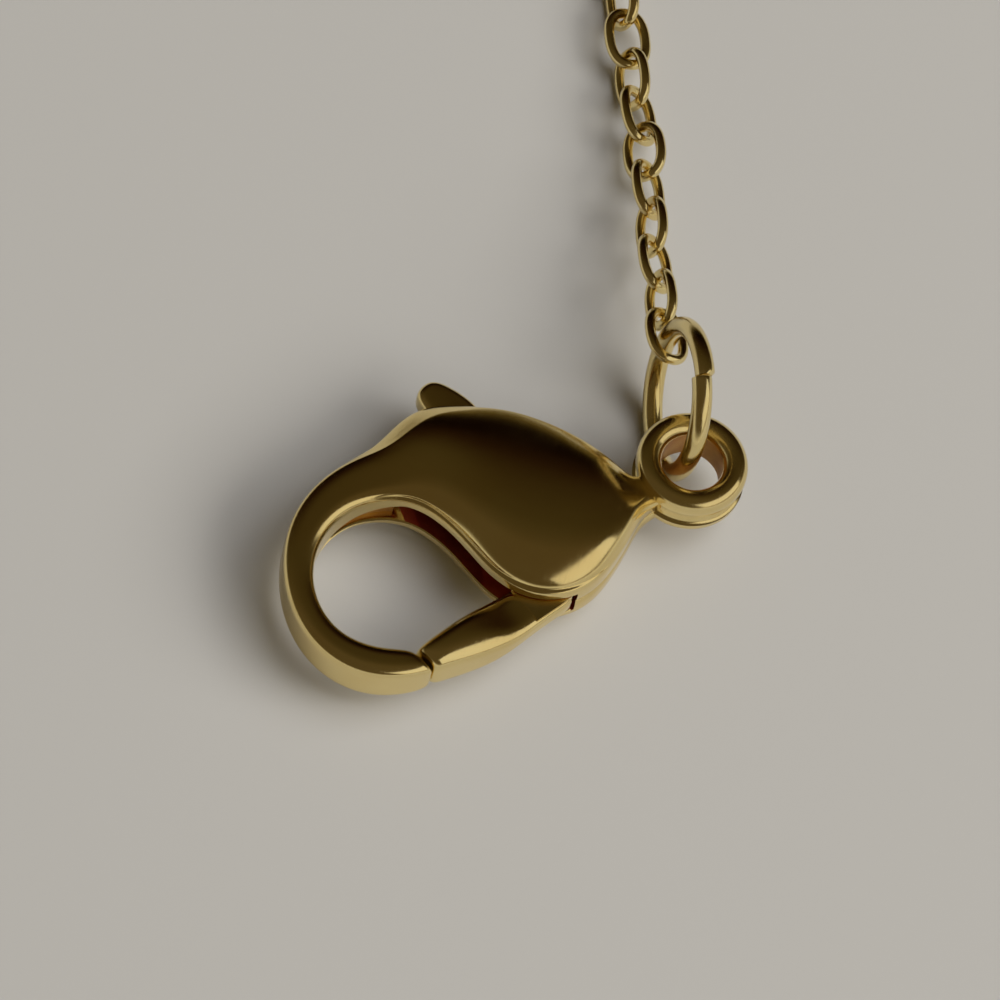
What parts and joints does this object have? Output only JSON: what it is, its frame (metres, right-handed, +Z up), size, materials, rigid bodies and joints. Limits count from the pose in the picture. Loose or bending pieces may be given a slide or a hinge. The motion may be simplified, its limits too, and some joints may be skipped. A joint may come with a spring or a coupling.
{
  "type": "chain necklace with lobster clasp",
  "caption": "Fine oval-link cable chain laid in an open loop, with a sprung lobster claw clasp on a cut jump ring at one end and a plain closed ring at the other.",
  "frame": {"origin": "middle of the laid necklace's outline, on the surface it lies on", "axes": "+Z up, the thin way; +X the loop's longest way, towards the clasp"},
  "size_m": [0.1348, 0.115, 0.0041],
  "materials": {
    "gold": "polished gold plate",
    "chain_gold": "polished gold plate"
  },
  "bodies": {
    "necklace": {"clasp_body": "gold", "pivot_pin": "gold", "jump_ring": "gold", "link_01": "chain_gold", "link_02": "chain_gold", "link_03": "chain_gold", "link_04": "chain_gold", "link_05": "chain_gold", "link_06": "chain_gold", "link_07": "chain_gold", "link_08": "chain_gold", "link_09": "chain_gold", "link_10": "chain_gold", "link_11": "chain_gold", "link_12": "chain_gold", "chain": "chain_gold", "end_link": "chain_gold", "end_ring": "gold"},
    "lever": {"lever": "gold"}
  },
  "joints": [
    {"name": "lever_hinge", "type": "hinge", "parent": "necklace", "child": "lever", "pos_m": [0.06377, -0.00986, 0.0013], "axis": [0, 0, 1], "range_deg": [-22, 0], "stiffness_Nm_per_rad": 0.002}
  ]
}
